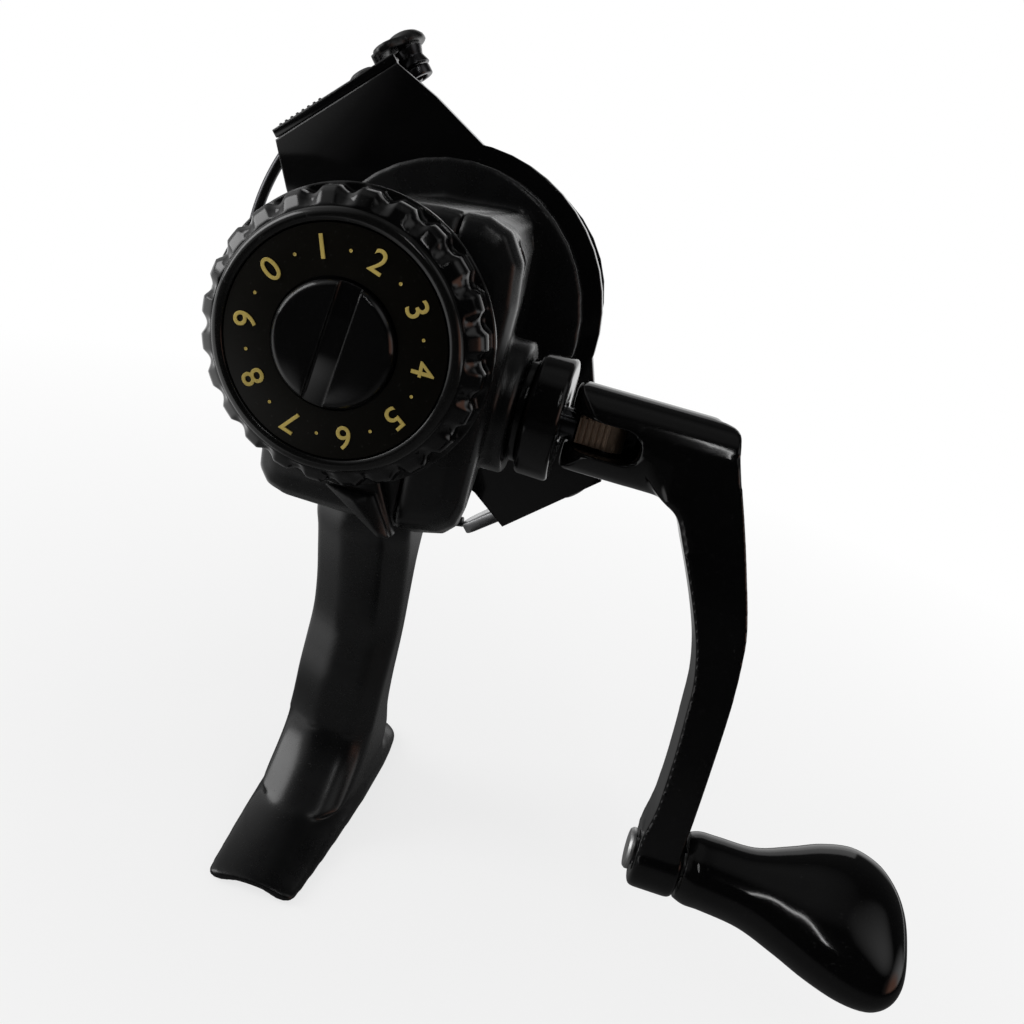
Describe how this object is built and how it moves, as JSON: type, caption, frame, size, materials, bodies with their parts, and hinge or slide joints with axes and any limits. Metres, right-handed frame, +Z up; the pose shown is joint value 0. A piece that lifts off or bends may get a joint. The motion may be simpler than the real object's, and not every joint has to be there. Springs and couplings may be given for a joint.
{
  "type": "spinning reel",
  "caption": "Fishing reel of the open-faced spinning kind, with rear drag knob, rotor and bail, skirted spool, rod foot, and a folding crank with a paddle grip",
  "frame": {"origin": "middle of the flat land in the foot's sole, where the reel sits on a rod", "axes": "+Y along the main shaft from the drag knob to the spool, +X towards the crank, +Z up from the foot to the body"},
  "size_m": [0.1349, 0.0882, 0.1245],
  "materials": {
    "gloss_black": "glossy black",
    "satin_black": "semi-gloss black enamel",
    "olive_black": "very dark olive brown",
    "steel": "polished steel",
    "grey": "plain steel pin head",
    "brass": "copper-toned brass",
    "bronze": "cast bronze",
    "felt": "oiled felt",
    "alloy": "die-cast alloy"
  },
  "bodies": {
    "frame": {"body_housing": "satin_black", "side_cover": "gloss_black", "cover_screw_1": "steel", "cover_screw_2": "steel", "cover_screw_3": "steel", "inner_gear_bush": "brass", "outer_gear_bush": "brass", "pinion_bearing": "steel", "bearing_retainer": "steel", "guide_rod": "steel", "rear_drag_washer": "felt", "front_drag_washer": "felt", "drag_spring": "steel", "pawl_screw": "steel"},
    "knob": {"drag_knob": "gloss_black", "drag_cap_screw": "gloss_black", "dial_ring": "olive_black"},
    "drag_nut": {"drag_pressure_nut": "bronze"},
    "hub": {"drag_hub": "bronze"},
    "carriage": {"slider": "alloy"},
    "spool_group": {"main_shaft": "steel", "spool": "gloss_black", "spool_washer": "brass"},
    "button": {"spool_button": "satin_black"},
    "crank_shaft": {"drive_gear": "bronze", "ratchet_wheel": "steel", "fold_stud": "brass", "neck_ring": "gloss_black"},
    "collar": {"lock_collar": "gloss_black"},
    "crank": {"crank_arm": "gloss_black", "fold_pin": "steel", "grip_pin": "grey"},
    "paddle": {"grip": "gloss_black"},
    "rotor_group": {"rotor": "gloss_black", "pinion": "brass", "rotor_nut": "brass", "bail_arm_cover": "gloss_black", "arm_cover_screw": "steel", "bail_spring": "steel", "spring_push_rod": "steel", "bail_pivot_screw": "gloss_black", "bail_lever_screw": "steel"},
    "bail": {"bail_arm": "gloss_black", "bail_wire": "steel", "roller_pin": "steel", "bail_lever": "gloss_black"},
    "roller": {"line_roller": "steel"},
    "reverse_lever": {"anti_reverse_lever": "satin_black"},
    "reverse_pawl": {"pawl": "steel"}
  },
  "joints": [
    {"name": "knob_turn", "type": "hinge", "parent": "frame", "child": "knob", "pos_m": [0, -0.033, 0.0835], "axis": [0, 1, 0], "range_deg": [-150, 150]},
    {"name": "drag_nut_slide", "type": "slide", "parent": "knob", "child": "drag_nut", "axis": [0, 1, 0], "range_m": [-0.00022, 0.00022]},
    {"name": "rotor_spin", "type": "hinge", "parent": "frame", "child": "rotor_group", "pos_m": [0, 0.019, 0.0835], "axis": [0, 1, 0], "continuous": true},
    {"name": "handle_turn", "type": "hinge", "parent": "frame", "child": "crank_shaft", "pos_m": [0.02, -0.0112, 0.0768], "axis": [1, 0, 0], "continuous": true},
    {"name": "handle_fold", "type": "hinge", "parent": "crank_shaft", "child": "crank", "pos_m": [0.0318, -0.0112, 0.0768], "axis": [0, 0, -1], "range_deg": [0, 90]},
    {"name": "lock_collar_turn", "type": "hinge", "parent": "crank_shaft", "child": "collar", "pos_m": [0.023, -0.0112, 0.0768], "axis": [1, 0, 0], "range_deg": [0, 120]},
    {"name": "grip_spin", "type": "hinge", "parent": "crank", "child": "paddle", "pos_m": [0.0736, -0.02197, 0.02368], "axis": [1, 0, 0], "continuous": true},
    {"name": "bail_flip", "type": "hinge", "parent": "rotor_group", "child": "bail", "pos_m": [0, 0.038, 0.0835], "axis": [0.6691, 0, -0.7431], "range_deg": [0, 110]},
    {"name": "roller_spin", "type": "hinge", "parent": "bail", "child": "roller", "pos_m": [-0.02156, 0.042, 0.1194], "axis": [-0.6691, 0, 0.7431], "continuous": true},
    {"name": "oscillation", "type": "slide", "parent": "frame", "child": "carriage", "axis": [0, 1, 0], "range_m": [-0.004, 0.004]},
    {"name": "spool_spin", "type": "hinge", "parent": "carriage", "child": "spool_group", "pos_m": [0, 0.034, 0.0835], "axis": [0, 1, 0], "continuous": true},
    {"name": "hub_spin", "type": "hinge", "parent": "frame", "child": "hub", "pos_m": [0, -0.028, 0.0835], "axis": [0, 1, 0], "continuous": true},
    {"name": "button_press", "type": "slide", "parent": "spool_group", "child": "button", "axis": [0, -1, 0], "range_m": [0, 0.001], "stiffness_N_per_m": 300, "springref_m": -0.001},
    {"name": "reverse_lever_turn", "type": "hinge", "parent": "frame", "child": "reverse_lever", "pos_m": [-0.001, -0.028, 0.069], "axis": [0, 1, 0], "range_deg": [0, 60]},
    {"name": "pawl_turn", "type": "hinge", "parent": "frame", "child": "reverse_pawl", "pos_m": [0.0075, -0.0224, 0.0645], "axis": [1, 0, 0], "range_deg": [0, 8.5]}
  ],
  "couplings": [
    {"joint": "drag_nut_slide", "follows": "knob_turn", "m_per_rad": 0.000079577},
    {"joint": "handle_turn", "follows": "rotor_spin", "ratio": -0.25},
    {"joint": "hub_spin", "follows": "spool_spin", "ratio": 1},
    {"joint": "pawl_turn", "follows": "reverse_lever_turn", "ratio": 0.14}
  ]
}
